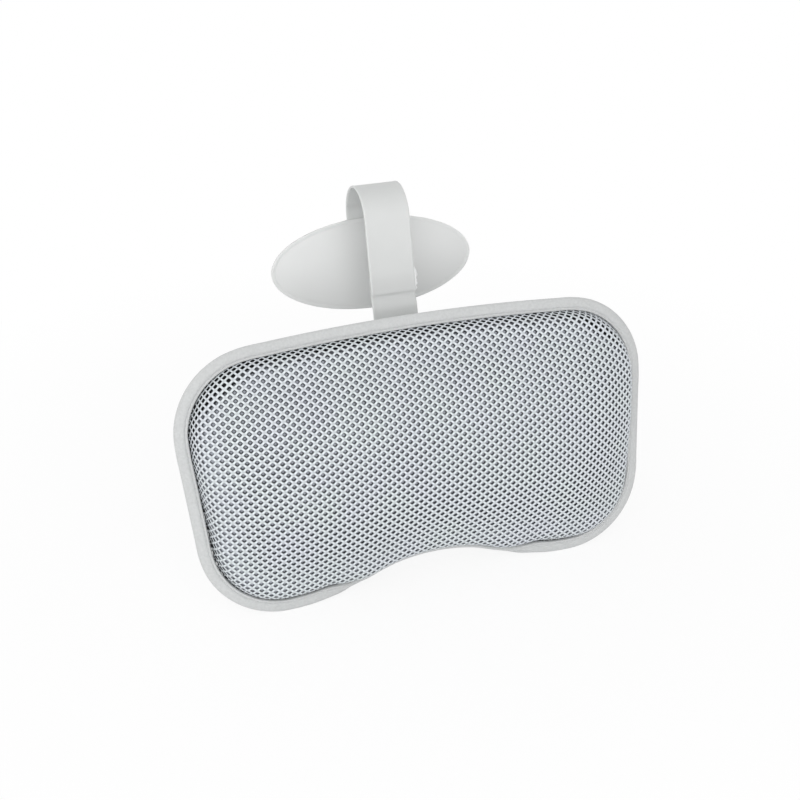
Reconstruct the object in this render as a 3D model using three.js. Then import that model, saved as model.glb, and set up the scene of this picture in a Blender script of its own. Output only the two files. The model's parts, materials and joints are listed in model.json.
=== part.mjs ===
// Bath pillow: a crowned, kidney-shaped cushion with a bound edge, and a strap that rises from a tab
// on its back, arches over the rim of the bath and ends in a weighted oval paddle.
// Millimetres, +Z up, the face for the neck towards -Y. The origin is the middle of the flat back,
// and the whole part leans back as it does on the sloping end of a bath.
import * as THREE from 'three';

// Pillow outline, seen from the front
const PILLOW_WIDTH = 340;
const LOWER_WIDTH = 330;
const PILLOW_HEIGHT = 194;
const TOP_RADIUS = 1400;
const CORNER_RADIUS = 58;
const LOBE_RADIUS = 58;
const LOWER_EDGE_RISE = 23;
const LEAN_DEGREES = 15.5;

// Cushion in section, measured from the middle of the edge seam
const FRONT_CROWN = 30;
const FRONT_WALL = 9.5;
const FRONT_WALL_ROUND = 2;
const CROWN_AT_TOP = 17;
const CROWN_DROP = 75;
const LOWER_ROUND = 60;
const BACK_DEPTH = 38;
const MESH_THICKNESS = 3;
const BACK_THICKNESS = 1.2;
const FLANGE_THICKNESS = 1.2;
const FLANGE_SETBACK = 1.5;
const BACK_SHOULDER = 32;
const BACK_SEAT = 20;
const BACK_SEAT_FALL = 0.15;

// Folded tape round the edge
const BINDING_WIDTH = 9;
const BINDING_TAPE = 0.9;

// Strap and the tab that carries it
const STRAP_WIDTH = 33;
const STRAP_THICKNESS = 1.5;
const TAB_WIDTH = 33;
const TAB_SEWN_LENGTH = 18;
const TAB_RISE = 9;
const LEG_RISE = 60.5;
const ARCH_RADIUS = 23;

// Paddle at the end of the strap, and the weight sealed in it
const PADDLE_WIDTH = 153;
const PADDLE_HEIGHT = 67;
const PADDLE_DROP = 1.5;
const PADDLE_RIM = 4;
const PADDLE_SHOULDER = 14;
const SKIN_THICKNESS = 1;
const WEIGHT_THICKNESS = 3;
const WEIGHT_CHAMFER = 1;

const CLEARANCE = 0.3;

// Fineness of the facets
const PILLOW_FACETS = 64;
const PADDLE_FACETS = 48;
const ROUND_END_STEPS = 6;
const FRONT_FACETS_TO_TOP = 5.5;
const FRONT_FACETS_PAST_TOP = 1.5;
const REAR_FACETS = 6;
const FRONT_STEPS = [0, 0.012, 0.035, 0.08, 0.17, 0.33, 0.56, 0.8];
const BACK_STEPS = [0, 0.03, 0.1, 0.22, 0.42, 0.7, 1];

// The curve of a padded side: upright at the seam, level at the top.
const SIDE_EXPONENT = 2.3;
const swell = (share) => Math.sqrt(1 - (1 - share) ** SIDE_EXPONENT);

const LEAN = THREE.MathUtils.degToRad(LEAN_DEGREES);
const SEAM_Y = -BACK_DEPTH;
const SPINE_DROP = (PILLOW_HEIGHT - LOWER_EDGE_RISE / 2) / 2;
const SPINE_HALF_LENGTH = LOWER_WIDTH / 2 - SPINE_DROP;
const DOME_INSET = BINDING_WIDTH + CLEARANCE;
const FLANGE_FACE = CLEARANCE / 2 + FLANGE_THICKNESS;
const TOP_EDGE_Z = SPINE_DROP;

function pillowOutline() {
  const cornerX = PILLOW_WIDTH / 2 - CORNER_RADIUS;
  const cornerZ = Math.sqrt((TOP_RADIUS - CORNER_RADIUS) ** 2 - cornerX ** 2) - TOP_RADIUS;
  const lobeX = LOWER_WIDTH / 2 - LOBE_RADIUS;
  const lobeZ = LOBE_RADIUS - PILLOW_HEIGHT;
  const quarter = Math.PI / 2;
  const crest = Math.atan2(cornerX, cornerZ + TOP_RADIUS);
  // The straight side touches the corner's circle and the lobe's circle.
  const apart = Math.hypot(cornerX - lobeX, cornerZ - lobeZ);
  const side = Math.atan2(cornerX - lobeX, cornerZ - lobeZ)
    - Math.asin((LOBE_RADIUS - CORNER_RADIUS) / apart);
  const lowest = -PILLOW_HEIGHT;
  const middle = lowest + LOWER_EDGE_RISE;
  const shape = new THREE.Shape();
  shape.absarc(0, -TOP_RADIUS, TOP_RADIUS, quarter, quarter - crest, true);
  shape.absarc(cornerX, cornerZ, CORNER_RADIUS, quarter - crest, -side, true);
  shape.absarc(lobeX, lobeZ, LOBE_RADIUS, -side, -quarter, true);
  shape.bezierCurveTo(lobeX / 2, lowest, lobeX / 2, middle, 0, middle);
  shape.bezierCurveTo(-lobeX / 2, middle, -lobeX / 2, lowest, -lobeX, lowest);
  shape.absarc(-lobeX, lobeZ, LOBE_RADIUS, -quarter, Math.PI + side, true);
  shape.absarc(-cornerX, cornerZ, CORNER_RADIUS, Math.PI + side, quarter + crest, true);
  shape.absarc(0, -TOP_RADIUS, TOP_RADIUS, quarter + crest, quarter, true);
  return shape;
}

const outline = pillowOutline().getSpacedPoints(PILLOW_FACETS).slice(0, PILLOW_FACETS);

// The outline moved inwards along its normals, with heights counted from the spine.
function insetOutline(inset) {
  return outline.map((point, i) => {
    const before = outline[(i + PILLOW_FACETS - 1) % PILLOW_FACETS];
    const after = outline[(i + 1) % PILLOW_FACETS];
    const along = after.clone().sub(before).normalize();
    return new THREE.Vector2(point.x + along.y * inset, point.y - along.x * inset + SPINE_DROP);
  });
}

// One level loop round the cushion: inset from the edge, then a share of the way to the spine.
function cushionLoop(inset, y, share = 0) {
  return insetOutline(inset).map((point) => {
    const limit = SPINE_HALF_LENGTH;
    const spine = new THREE.Vector2(THREE.MathUtils.clamp(point.x, -limit, limit), 0);
    const moved = point.lerp(spine, share);
    return new THREE.Vector3(moved.x, y, moved.y);
  });
}

// How far the crown stands above the padded wall at a height: low along the top edge, full below it.
function crownAboveWall(z) {
  const drop = THREE.MathUtils.smoothstep(TOP_EDGE_Z - z, 0, CROWN_DROP);
  return THREE.MathUtils.lerp(CROWN_AT_TOP, FRONT_CROWN, drop) - FRONT_WALL;
}

// The rise from the wall to the crown: soon level in the upper half, and rounder in the lower half.
function crownCurve(share, z) {
  const lower = THREE.MathUtils.smoothstep(-z, 0, LOWER_ROUND);
  return THREE.MathUtils.lerp(swell(share), 1 - (1 - share) ** 2, lower);
}

// Loops from the seam up a steep wall to the crown of the front, at a depth under its outer surface.
function frontDome(depth, foot) {
  const inset = DOME_INSET + depth;
  const base = cushionLoop(inset, 0);
  return FRONT_STEPS.map((share) => cushionLoop(inset, 0, share).map((point, i) => {
    const gone = point.distanceTo(base[i]);
    const wall = (FRONT_WALL - depth - foot) * (1 - Math.exp(-gone / FRONT_WALL_ROUND));
    const crown = crownAboveWall(point.z) * crownCurve(share, point.z);
    return point.setY(SEAM_Y - foot - wall - crown);
  }));
}

// Loops from the seam round the shoulder to the flat of the back, at a depth under its outer surface.
function backDome(depth, foot) {
  const reach = SPINE_DROP - DOME_INSET;
  const loops = BACK_STEPS.map((step) => {
    const fall = (BACK_DEPTH - BACK_SEAT_FALL - depth - foot) * swell(step);
    return cushionLoop(DOME_INSET + depth, SEAM_Y + foot + fall, step * BACK_SHOULDER / reach);
  });
  loops.push(cushionLoop(DOME_INSET + depth, -depth, (BACK_SHOULDER + BACK_SEAT) / reach));
  return loops;
}

function middleOf(loop) {
  return loop.reduce((sum, point) => sum.add(point), new THREE.Vector3()).divideScalar(loop.length);
}

// Triangles that close a flat loop as a fan about its middle.
function capTriangles(count, firstVertex, middleVertex, facesFront) {
  const index = [];
  for (let i = 0; i < count; i += 1) {
    const here = firstVertex + i;
    const next = firstVertex + (i + 1) % count;
    const edge = facesFront ? [next, here] : [here, next];
    index.push(middleVertex, ...edge);
  }
  return index;
}

// A closed body through loops that run clockwise seen from the front. A ringed body joins its last
// loop to its first, and any other body is capped at both ends.
function loft(loops, ringed = false) {
  const count = loops[0].length;
  const index = [];
  const bands = ringed ? loops.length : loops.length - 1;
  for (let row = 0; row < bands; row += 1) {
    const here = row * count;
    const next = ((row + 1) % loops.length) * count;
    for (let i = 0; i < count; i += 1) {
      const j = (i + 1) % count;
      index.push(here + i, here + j, next + j, here + i, next + j, next + i);
    }
  }
  const points = loops.flat();
  if (!ringed) {
    const lastLoop = points.length - count;
    index.push(...capTriangles(count, 0, points.length, true));
    index.push(...capTriangles(count, lastLoop, points.length + 1, false));
    points.push(middleOf(loops[0]), middleOf(loops.at(-1)));
  }
  const geometry = new THREE.BufferGeometry().setFromPoints(points);
  geometry.setIndex(index);
  geometry.computeVertexNormals();
  return geometry;
}

// Spacer-mesh front: a domed shell, open behind, with a thin flange in the seam.
function frontMeshGeometry() {
  const outer = frontDome(0, FLANGE_FACE).reverse();
  const inner = frontDome(MESH_THICKNESS, CLEARANCE / 2);
  const rim = [
    cushionLoop(FLANGE_SETBACK, SEAM_Y - FLANGE_FACE),
    cushionLoop(FLANGE_SETBACK, SEAM_Y - CLEARANCE / 2),
  ];
  return loft([...outer, ...rim, ...inner]);
}

// Back cover: a shell with round shoulders and a flat seat, open in front, with the other flange.
function backPanelGeometry() {
  const outer = backDome(0, FLANGE_FACE);
  const inner = backDome(BACK_THICKNESS, CLEARANCE / 2).reverse();
  const rim = [
    cushionLoop(FLANGE_SETBACK, SEAM_Y + CLEARANCE / 2),
    cushionLoop(FLANGE_SETBACK, SEAM_Y + FLANGE_FACE),
  ];
  return loft([...inner, ...rim, ...outer]);
}

// Filling: one soft block that follows the inside of both covers.
function fillingGeometry() {
  const front = frontDome(MESH_THICKNESS + CLEARANCE, CLEARANCE / 2).reverse();
  const back = backDome(BACK_THICKNESS + CLEARANCE, CLEARANCE / 2);
  const inset = DOME_INSET + MESH_THICKNESS + CLEARANCE;
  return loft([...front, cushionLoop(inset, SEAM_Y), ...back]);
}

// Binding: tape folded over both flanges, a U in section all the way round.
function bindingGeometry() {
  const slot = FLANGE_FACE + CLEARANCE;
  const face = slot + BINDING_TAPE;
  const slotBottom = FLANGE_SETBACK - CLEARANCE;
  const nose = face / 2;
  const section = [
    [BINDING_WIDTH, -face],
    [nose, -face],
    [0, -nose],
    [0, nose],
    [nose, face],
    [BINDING_WIDTH, face],
    [BINDING_WIDTH, slot],
    [slotBottom, slot],
    [slotBottom, -slot],
    [BINDING_WIDTH, -slot],
  ];
  return loft(section.map(([inset, y]) => cushionLoop(inset, SEAM_Y + y)), true);
}

// The strap's line in the plane X = 0, as [y, z]. Each fold turns about a point on this line.
const STRAP_Y = CLEARANCE + STRAP_THICKNESS / 2;
const REAR_Y = STRAP_Y + 2 * ARCH_RADIUS;
const TAB_FOLD_Z = TOP_EDGE_Z + TAB_RISE;
const ARCH_Z = TOP_EDGE_Z + LEG_RISE;
const FOLD_SETBACK = STRAP_THICKNESS / 2 + CLEARANCE;

// A facet's turn is chosen so that one facet of the arch lies level on top when the part leans.
const FRONT_FACET = (Math.PI / 2 - LEAN) / FRONT_FACETS_TO_TOP;
const FRONT_FACETS = FRONT_FACETS_TO_TOP + FRONT_FACETS_PAST_TOP;
const ARCH_FOLD_TURN = FRONT_FACETS * FRONT_FACET;

function archPoint(turn) {
  const y = STRAP_Y + ARCH_RADIUS * (1 - Math.cos(turn));
  return new THREE.Vector2(y, ARCH_Z + ARCH_RADIUS * Math.sin(turn));
}

// The half-round edge that joins one side of a band to the other at a fold.
function roundTip(centre, start) {
  return Array.from({ length: ROUND_END_STEPS - 1 }, (_, i) => {
    const turn = -Math.PI * (i + 1) / ROUND_END_STEPS;
    return start.clone().rotateAround(centre, turn);
  });
}

// A flat band along a line in the plane X = 0, with each end square or half round.
function bandGeometry(line, width, roundStart, roundEnd) {
  const half = STRAP_THICKNESS / 2;
  const left = [];
  const right = [];
  line.forEach((point, i) => {
    const before = line[Math.max(i - 1, 0)];
    const after = line[Math.min(i + 1, line.length - 1)];
    const along = after.clone().sub(before).normalize();
    const across = new THREE.Vector2(-along.y, along.x).multiplyScalar(half);
    left.push(point.clone().add(across));
    right.push(point.clone().sub(across));
  });
  const endTip = roundEnd ? roundTip(line.at(-1), left.at(-1)) : [];
  const startTip = roundStart ? roundTip(line[0], right[0]) : [];
  const shape = new THREE.Shape([...left, ...endTip, ...right.reverse(), ...startTip]);
  const geometry = new THREE.ExtrudeGeometry(shape, { depth: width, bevelEnabled: false });
  geometry.translate(0, 0, -width / 2);
  const axes = [new THREE.Vector3(0, 1, 0), new THREE.Vector3(0, 0, 1), new THREE.Vector3(1, 0, 0)];
  return geometry.applyMatrix4(new THREE.Matrix4().makeBasis(...axes));
}

// Tab: sewn to the seat of the back, and standing up to the fold behind the top edge.
function tabGeometry() {
  const foot = SPINE_DROP - DOME_INSET - BACK_SHOULDER - TAB_SEWN_LENGTH;
  const line = [
    new THREE.Vector2(STRAP_Y, foot),
    new THREE.Vector2(STRAP_Y, TAB_FOLD_Z - FOLD_SETBACK),
  ];
  return bandGeometry(line, TAB_WIDTH, false, false);
}

// Front leg of the strap and the arch as far as its fold.
function strapFrontGeometry() {
  const line = [];
  const stop = ARCH_FOLD_TURN - FOLD_SETBACK / ARCH_RADIUS;
  for (let facet = 0; facet < FRONT_FACETS; facet += 1) {
    line.push(archPoint(facet * FRONT_FACET));
  }
  line.push(archPoint(stop));
  line.reverse();
  line.push(new THREE.Vector2(STRAP_Y, TAB_FOLD_Z));
  return bandGeometry(line, STRAP_WIDTH, false, true);
}

// Rear of the arch, down to the fold above the paddle.
function strapRearGeometry() {
  const line = [];
  for (let facet = 0; facet <= REAR_FACETS; facet += 1) {
    line.push(archPoint(THREE.MathUtils.lerp(ARCH_FOLD_TURN, Math.PI, facet / REAR_FACETS)));
  }
  return bandGeometry(line, STRAP_WIDTH, true, true);
}

const PADDLE_Z = ARCH_Z - PADDLE_DROP - PADDLE_HEIGHT / 2;

// One level loop of the paddle, inset from its rim, clockwise seen from the front.
function paddleLoop(inset, y) {
  return Array.from({ length: PADDLE_FACETS }, (_, i) => {
    const turn = -2 * Math.PI * i / PADDLE_FACETS;
    const x = (PADDLE_WIDTH / 2 - inset) * Math.cos(turn);
    const z = (PADDLE_HEIGHT / 2 - inset) * Math.sin(turn);
    return new THREE.Vector3(x, y, PADDLE_Z + z);
  });
}

// Back of the paddle: a flat oval cut in one with the end of the strap.
function paddleBackGeometry() {
  const a = PADDLE_WIDTH / 2;
  const b = PADDLE_HEIGHT / 2;
  const start = Math.acos(STRAP_WIDTH / 2 / a);
  const neckTop = ARCH_Z - FOLD_SETBACK - PADDLE_Z;
  const shape = new THREE.Shape();
  shape.absellipse(0, 0, a, b, start, Math.PI - start, true);
  shape.lineTo(-STRAP_WIDTH / 2, neckTop);
  shape.lineTo(STRAP_WIDTH / 2, neckTop);
  const options = { depth: STRAP_THICKNESS, bevelEnabled: false, curveSegments: PADDLE_FACETS };
  const geometry = new THREE.ExtrudeGeometry(shape, options);
  geometry.rotateX(Math.PI / 2);
  return geometry.translate(0, REAR_Y + STRAP_THICKNESS / 2, PADDLE_Z);
}

const PADDLE_SEAM_Y = REAR_Y - STRAP_THICKNESS / 2 - CLEARANCE;
const PADDLE_PUFF = WEIGHT_THICKNESS + CLEARANCE + SKIN_THICKNESS;

// The paddle's rounded shoulder is steep up to its knee and shallow above it.
const KNEE_INSET_SHARE = 1 / 3;
const KNEE_RISE_SHARE = 2 / 3;

// Front of the paddle: a skin with a flat welded rim and a low pillowed middle.
function paddleFrontGeometry() {
  const face = PADDLE_SEAM_Y - PADDLE_PUFF;
  const shoulder = PADDLE_RIM + PADDLE_SHOULDER;
  const knee = PADDLE_RIM + PADDLE_SHOULDER * KNEE_INSET_SHARE;
  const kneeRise = (PADDLE_PUFF - SKIN_THICKNESS) * KNEE_RISE_SHARE;
  return loft([
    paddleLoop(shoulder, face),
    paddleLoop(knee, PADDLE_SEAM_Y - SKIN_THICKNESS - kneeRise),
    paddleLoop(PADDLE_RIM, PADDLE_SEAM_Y - SKIN_THICKNESS),
    paddleLoop(0, PADDLE_SEAM_Y - SKIN_THICKNESS),
    paddleLoop(0, PADDLE_SEAM_Y),
    paddleLoop(PADDLE_RIM + SKIN_THICKNESS, PADDLE_SEAM_Y),
    paddleLoop(knee + SKIN_THICKNESS, PADDLE_SEAM_Y - kneeRise),
    paddleLoop(shoulder, face + SKIN_THICKNESS),
  ]);
}

// Weight: a chamfered oval plate that fills the paddle.
function counterweightGeometry() {
  const back = PADDLE_SEAM_Y;
  const front = back - WEIGHT_THICKNESS;
  const inset = PADDLE_RIM + PADDLE_SHOULDER;
  return loft([
    paddleLoop(inset + WEIGHT_CHAMFER, front),
    paddleLoop(inset, front + WEIGHT_CHAMFER),
    paddleLoop(inset, back - WEIGHT_CHAMFER),
    paddleLoop(inset + WEIGHT_CHAMFER, back),
  ]);
}

const MESH_WHITE = { color: 0xe6e8ec, roughness: 0.85, metalness: 0 };
const FILLING_WHITE = { color: 0xc8cbd4, roughness: 0.95, metalness: 0 };
const BACK_GREY = { color: 0xcfd1d1, roughness: 0.8, metalness: 0 };
const BINDING_GREY = { color: 0xd2d3d2, roughness: 0.75, metalness: 0 };
const STRAP_GREY = { color: 0xd6d8d7, roughness: 0.5, metalness: 0 };
const WEIGHT_GREY = { color: 0x6f7376, roughness: 0.5, metalness: 0.8 };

const part = new THREE.Group();
part.rotation.x = -LEAN;

function addPiece(name, geometry, finish) {
  const mesh = new THREE.Mesh(geometry, new THREE.MeshStandardMaterial(finish));
  mesh.name = name;
  part.add(mesh);
}

addPiece('front_mesh', frontMeshGeometry(), MESH_WHITE);
addPiece('filling_core', fillingGeometry(), FILLING_WHITE);
addPiece('back_panel', backPanelGeometry(), BACK_GREY);
addPiece('edge_binding', bindingGeometry(), BINDING_GREY);
addPiece('strap_tab', tabGeometry(), STRAP_GREY);
addPiece('strap_front', strapFrontGeometry(), STRAP_GREY);
addPiece('strap_rear', strapRearGeometry(), STRAP_GREY);
addPiece('paddle_back', paddleBackGeometry(), STRAP_GREY);
addPiece('paddle_front', paddleFrontGeometry(), STRAP_GREY);
addPiece('counterweight', counterweightGeometry(), WEIGHT_GREY);

export default part;
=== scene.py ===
"""Bath pillow on a white floor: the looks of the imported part, in metres, in the part's own frame."""
import json
import math

import bpy
import numpy as np
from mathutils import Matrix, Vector, noise
from mathutils.bvhtree import BVHTree


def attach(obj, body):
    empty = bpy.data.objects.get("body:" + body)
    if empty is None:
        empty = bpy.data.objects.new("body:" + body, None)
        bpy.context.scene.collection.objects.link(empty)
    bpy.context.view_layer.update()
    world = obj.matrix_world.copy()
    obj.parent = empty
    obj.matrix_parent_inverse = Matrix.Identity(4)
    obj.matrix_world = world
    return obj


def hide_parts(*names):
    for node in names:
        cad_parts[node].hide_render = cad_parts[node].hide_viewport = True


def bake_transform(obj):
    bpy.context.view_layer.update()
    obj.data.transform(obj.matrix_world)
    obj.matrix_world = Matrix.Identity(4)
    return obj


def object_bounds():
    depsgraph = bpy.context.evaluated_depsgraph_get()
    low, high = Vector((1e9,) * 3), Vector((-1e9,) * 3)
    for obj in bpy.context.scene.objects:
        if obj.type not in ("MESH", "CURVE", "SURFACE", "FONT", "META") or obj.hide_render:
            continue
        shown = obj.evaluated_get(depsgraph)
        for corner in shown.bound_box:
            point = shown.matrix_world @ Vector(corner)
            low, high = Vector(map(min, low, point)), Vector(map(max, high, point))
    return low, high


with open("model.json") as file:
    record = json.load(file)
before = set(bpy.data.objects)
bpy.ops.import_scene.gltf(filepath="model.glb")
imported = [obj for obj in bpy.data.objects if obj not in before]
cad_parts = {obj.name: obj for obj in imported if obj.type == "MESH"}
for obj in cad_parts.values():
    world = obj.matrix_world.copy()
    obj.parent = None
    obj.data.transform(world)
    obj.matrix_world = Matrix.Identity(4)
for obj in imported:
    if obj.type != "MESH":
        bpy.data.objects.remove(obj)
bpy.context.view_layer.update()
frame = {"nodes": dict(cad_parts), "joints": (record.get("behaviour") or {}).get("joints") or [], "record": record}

MM = 0.001

# View of the photograph
VIEW_AZIMUTH = -19
VIEW_ELEVATION = 30
VIEW_DISTANCE = 789 * MM
VIEW_LENS = 51.75
VIEW_TARGET_X = -14.5 * MM
VIEW_TARGET_Z = 33 * MM

# Cushion in section, measured from the middle of the edge seam
FRONT_CROWN = 30 * MM
FRONT_WALL = 9.5 * MM
WALL_ROUND = 2.3 * MM
CROWN_AT_TOP = 17 * MM
CROWN_DROP = 75 * MM
LOWER_ROUND = 60 * MM
SIDE_EXPONENT = 2.3
BACK_SHOULDER = 32 * MM
COVER_THICKNESS = 1.2 * MM
FLANGE_WIDTH = 6 * MM
FLANGE_FACE = 0.75 * MM

# Stuffing, and the cloth simulation that swells it
CUSHION_DEPTH = 4.2 * MM
SIM_VOXEL = 5 * MM
SIM_PRESSURE = 4
SIM_FRAMES = 20
SIM_REACH = 5 * MM
LUMP_SIZE = 55 * MM
LUMP_HEIGHT = 1 * MM

# Hollow where the stuffing has shrunk from the edge, widest along the top and at its corners
HOLLOW_TOP = 13.5 * MM
HOLLOW_CORNER = 8 * MM
HOLLOW_SIDE = 3 * MM
HOLLOW_DEPTH = 7 * MM
HOLLOW_START = 5 * MM
HOLLOW_EDGE = 1.4
HOLLOW_RISE = 0.7
WALL_LENGTH = 0.7 * FRONT_WALL
FILLING_CLEAR = 2 * MM
CORNER_X = 136 * MM
CORNER_Z = 64 * MM
CORNER_SIZE = 34 * MM

# Spacer mesh of the front
CELL_WIDTH = 6.45 * MM
CELL_HEIGHT = 5.5 * MM
CELL_TURN = math.radians(-2)
HALF_COLUMNS = 40
HALF_ROWS = 50
HOLE_WIDTH = 3.5 * MM
HOLE_HEIGHT = 3.2 * MM
HOLE_CORNER = 0.87
HOLE_FLARE = 1.08
BAR_RISE = 0.45 * MM
KNOT_RISE = 0.3 * MM
RIM_RISE = 0.08 * MM
STRAND_DEPTH = 0.8 * MM
BACKING_DEPTH = 1.4 * MM
BACKING_AT_SEAM = 0.4
BACKING_THICKNESS = 0.4 * MM

# Lay of the mesh: level at the seam, then on the stuffing, and stretched on the wall
CLOTH_SETTLE = 12 * MM
CLOTH_FREE = 9 * MM
CLOTH_RISE = 25 * MM
LIFT_LOW = -2 * MM
LIFT_HIGH = 4 * MM
STRETCH_REACH = 16 * MM
STRETCHED_STRAND = 0.35
STRETCHED_HOLE = 0.16
# Painted shade darkens the strands' colour over this distance each side of the seam
SEAM_SHADE_WIDTH = 0.8 * MM

# Paleness of the mesh, from 0 to 1: white bars and greyer knots, with painted shade down the holes' walls and
# under the strands; EDGE_PALE lightens the backing's painted shade near the lower edge
KNOT_PALE = 0.66
RIM_PALE = [0.64, 0.86]
LOW_RIM_PALE = 0.05
EDGE_PALE = 0.68
EDGE_REACH = 48 * MM

# Folded tape round the edge, with its front as [inset, height] in mm: a stitched bead, then a padded roll
BINDING_WIDTH = 9.2 * MM
BINDING_FACE = 2.55 * MM
BINDING_TAPE = 0.9 * MM
BINDING_FRONT = [(9.2, 1.3), (9.1, 2.2), (8.6, 2.75), (8.0, 2.65), (7.4, 2.2), (6.8, 2.6), (6.1, 2.85),
                 (5.0, 2.75), (3.5, 2.3), (1.9, 1.6), (0.6, 0.95), (0, 0)]
INNER_POINTS = (0, 4, 7, 9, 11)
INNER_SHARE = 0.6
SEAM_GAP = 1.1 * MM
GAP_WAVE = 38 * MM
GAP_CHANGE = 0.9

# Stretch where the tape tucks under the hollow of the lower edge
TUCK_HALF = 45 * MM
TUCK_FADE = 36 * MM
TUCK_TURN = math.radians(80)

# Stitches
STITCH_PITCH = 3.1 * MM
STITCH_LENGTH = 2.2 * MM
STITCH_RADIUS = 0.28 * MM
STITCH_INSET = 7.4 * MM
STITCH_SINK = 2.2 * MM
STITCH_RINGS = [(0, 0.35), (0.14, 0.9), (0.5, 1.1), (0.86, 0.9), (1, 0.35)]
STITCH_SIDES = 6
BOX_SIDE = 4 * MM
BOX_FOOT = 3 * MM
BOX_HEAD = 2 * MM

# Strap, with the edge of its sheet as [inset in mm, height in half thicknesses]: a low welded bead
STRAP_THICKNESS = 1.5 * MM
SHEET_EDGE = [(0, 0), (0.1, 0.7), (0.4, 1.05), (1.0, 1.15), (1.7, 1.08), (2.6, 0.92)]
EDGE_WIDTH = 2.6 * MM
BAND_ARC = math.radians(160)
TAB_LAP = 12 * MM
TAB_BEND = 0.8 * TAB_LAP
TAB_BEHIND = 1.2 * STRAP_THICKNESS
TAB_SEWN = 18 * MM

# Ragged flash beside the lap
FRINGE_START = 0.5 * MM
FRINGE_HEIGHT = 17 * MM
FRINGE_WIDTH = 2.4 * MM
FRINGE_ROOT = 0.8 * MM
FRINGE_CURL = 0.6 * MM
FRINGE_THICKNESS = 0.35 * MM
FRINGE_TEETH = 9
FRINGE_MEAN = 0.55
FRINGE_CHANGE = 0.7
FRINGE_BLUNT = 0.06
FRINGE_DEPTH = 0.2 * STRAP_THICKNESS

# Paddle, with edges as [inset, height]: of the skin in mm and thicknesses, of the plate in thicknesses
PADDLE_HEIGHT = 67 * MM
PADDLE_RIM = 2.6 * MM
PADDLE_SHOULDER = 27 * MM
PADDLE_PUFF = 2.5 * MM
PADDLE_TIP = 0.02
NECK_FILLET = 6 * MM
SKIN_THICKNESS = 0.6 * MM
WELD_STEP = 0.5 * MM
WELD_GROOVE = 0.75
SKIN_EDGE = [(0.5, 1), (0.12, 0.85), (0, 0.5), (0, 0)]
PLATE_THICKNESS = 1 * MM
PLATE_GAP = 0.1 * MM
PLATE_EDGE = [(0.5, 1), (0.12, 0.85), (0, 0.5), (0.12, 0.15), (0.5, 0)]

# Stage
FLOOR_SIZE = 12
FLOOR_NEAR = 0.22
FLOOR_FAR = 0.55
FLOOR_GLOW = 0.86
WORLD_LIGHT = 0.7
WORLD_SIDE = 0.3

# Fineness of the meshes
SHARP_ANGLE = math.radians(42)
OUTLINE_POINTS = 480
LOOP_STEPS = 24
FRONT_SHARES = (0.8, 0.56, 0.33, 0.17, 0.08, 0.035, 0.012)
BACK_STEPS = (0, 0.02, 0.08, 0.18, 0.34, 0.56, 0.8, 1)
COVER_STEPS = 22
SEAT_STEPS = (1.16, 1.4, 1.7, 2.0, 2.3)
PROFILE_STEPS = 56
STITCH_STEPS = 10
BOX_STEPS = 40
BAND_ROWS = 90
TAB_ROWS = 60
FRINGE_ROWS = 48
NECK_ROWS = 20
PADDLE_ROWS = 72
SHOULDER_ROWS = 14
SKIN_POINTS = 144
PLATE_POINTS = 96


def mount(name):
    return next(m for m in frame["record"]["mounts"] if m["name"] == name)


BACK_AXIS = Vector(mount("back_face")["axis"])
LEAN_COS, LEAN_SIN = BACK_AXIS.y, -BACK_AXIS.z


def lean(points):
    """Points given upright, with the flat back at y = 0 and the face towards -Y, as the part holds them."""
    x, y, z = np.asarray(points, float).reshape(-1, 3).T
    return np.column_stack([x, y * LEAN_COS + z * LEAN_SIN, z * LEAN_COS - y * LEAN_SIN])


def upright(points):
    x, y, z = np.asarray(points, float).reshape(-1, 3).T
    return np.column_stack([x, y * LEAN_COS - z * LEAN_SIN, z * LEAN_COS + y * LEAN_SIN])


def joint_point(name):
    """A joint's place, upright."""
    place = next(j for j in frame["joints"] if j["name"] == name)["pos_m"]
    return upright([place])[0]


def node_points(name):
    """A CAD node's vertices, upright."""
    return upright([v.co for v in frame["nodes"][name].data.vertices])


# Meshes

def new_object(name, points, faces):
    """A smooth mesh object from upright points, with sharp creases left sharp."""
    mesh = bpy.data.meshes.new(name)
    mesh.from_pydata(lean(points).tolist(), [], [[int(i) for i in face] for face in faces])
    mesh.validate()
    mesh.polygons.foreach_set("use_smooth", [True] * len(mesh.polygons))
    mesh.set_sharp_from_angle(angle=SHARP_ANGLE)
    piece = bpy.data.objects.new(name, mesh)
    bpy.context.scene.collection.objects.link(piece)
    return piece


def grid_faces(rows, columns, wrap=False):
    """Quads between successive rows of points; a wrapped grid closes each row on itself."""
    faces = []
    for row in range(rows - 1):
        here, there = row * columns, (row + 1) * columns
        for i in range(columns if wrap else columns - 1):
            j = (i + 1) % columns
            faces.append((here + i, here + j, there + j, there + i))
    return faces


def capped_faces(rows, columns):
    """A tube of rows, closed at both ends."""
    last = (rows - 1) * columns
    ends = [range(columns - 1, -1, -1), range(last, last + columns)]
    return grid_faces(rows, columns, wrap=True) + ends


def set_values(piece, name, values):
    """Stores one number for each vertex, for the materials to read."""
    stored = piece.data.attributes.new(name, "FLOAT", "POINT")
    stored.data.foreach_set("value", np.asarray(values, np.float32))


def apply_modifiers(piece):
    """Replaces the piece's mesh by what its modifiers make of it."""
    graph = bpy.context.evaluated_depsgraph_get()
    made = bpy.data.meshes.new_from_object(piece.evaluated_get(graph))
    piece.modifiers.clear()
    piece.data = made


def thicken(piece, thickness, offset):
    shell = piece.modifiers.new("thickness", "SOLIDIFY")
    shell.thickness = thickness
    shell.offset = offset
    apply_modifiers(piece)


def vertex_array(mesh):
    points = np.zeros(len(mesh.vertices) * 3, np.float32)
    mesh.vertices.foreach_get("co", points)
    return points.reshape(-1, 3).astype(float)


def put_vertices(mesh, points):
    mesh.vertices.foreach_set("co", np.asarray(points, np.float32).ravel())


def smoothstep(value):
    value = np.clip(value, 0, 1)
    return value * value * (3 - 2 * value)


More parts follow.
